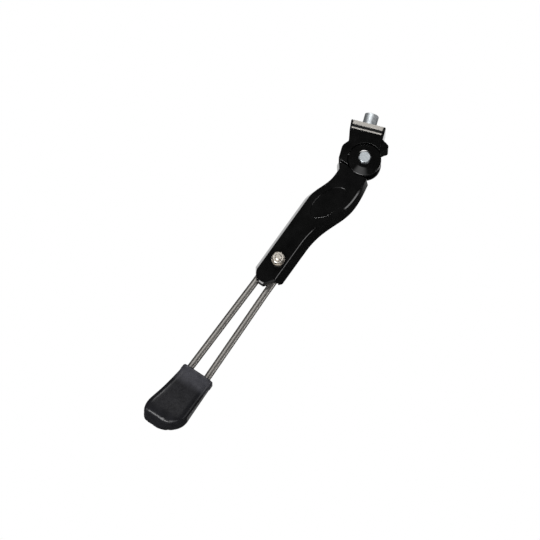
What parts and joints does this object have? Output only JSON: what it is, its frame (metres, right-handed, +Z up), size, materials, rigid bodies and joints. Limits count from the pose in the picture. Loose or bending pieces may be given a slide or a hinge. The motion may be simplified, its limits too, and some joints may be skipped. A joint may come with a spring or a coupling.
{
  "type": "bicycle kickstand",
  "caption": "Folding bicycle kickstand: a clamp head for the frame, a cast arm on a sprung pivot, and a sliding hairpin leg with a rubber foot.",
  "frame": {"origin": "on the mount bolt's axis, at the underside of the clamp plate, where the bicycle's frame is held", "axes": "+Z up along the mount bolt, X across the head, the leg's pivot axis along Y with its cap at -Y"},
  "size_m": [0.1491, 0.0336, 0.3326],
  "materials": {
    "black_paint": "gloss black",
    "bare_steel": "bare",
    "zinc": "bright zinc plated",
    "nickel": "nickel plated",
    "bronze": "sintered",
    "nylon": "natural",
    "drawn_steel": "drawn",
    "black_rubber": "matte",
    "grey_rubber": "moulded, finely grained"
  },
  "bodies": {
    "mount": {"mount_head": "black_paint", "clamp_plate": "bare_steel", "frame_pad": "black_rubber", "pad_backing": "bare_steel", "mount_bolt": "zinc", "flat_washer": "zinc", "spring_washer": "zinc", "pivot_bushing": "bronze"},
    "arm": {"arm": "black_paint", "pivot_cap": "black_paint", "pivot_bolt": "zinc", "pivot_washer": "zinc", "pivot_nut": "zinc", "pivot_sleeve": "bare_steel", "front_thrust_washer": "nylon", "rear_thrust_washer": "nylon", "detent_spring": "bare_steel", "rod_clamp_plate": "bare_steel", "clamp_bolt": "nickel", "clamp_washer": "nickel", "clamp_nut": "nickel"},
    "plunger": {"detent_plunger": "bare_steel"},
    "leg": {"leg_rod": "drawn_steel", "foot": "grey_rubber"}
  },
  "joints": [
    {"name": "leg_fold", "type": "hinge", "parent": "mount", "child": "arm", "pos_m": [0.005, 0, -0.0292], "axis": [0, -1, 0], "range_deg": [0, 106]},
    {"name": "leg_length", "type": "slide", "parent": "arm", "child": "leg", "axis": [-0.3338, 0, -0.9426], "range_m": [0, 0.035]},
    {"name": "plunger_slide", "type": "slide", "parent": "arm", "child": "plunger", "axis": [-0.4067, 0, -0.9135], "range_m": [0, 0.002], "stiffness_N_per_m": 4000, "springref_m": -0.004, "deforming": ["detent_spring"]}
  ]
}
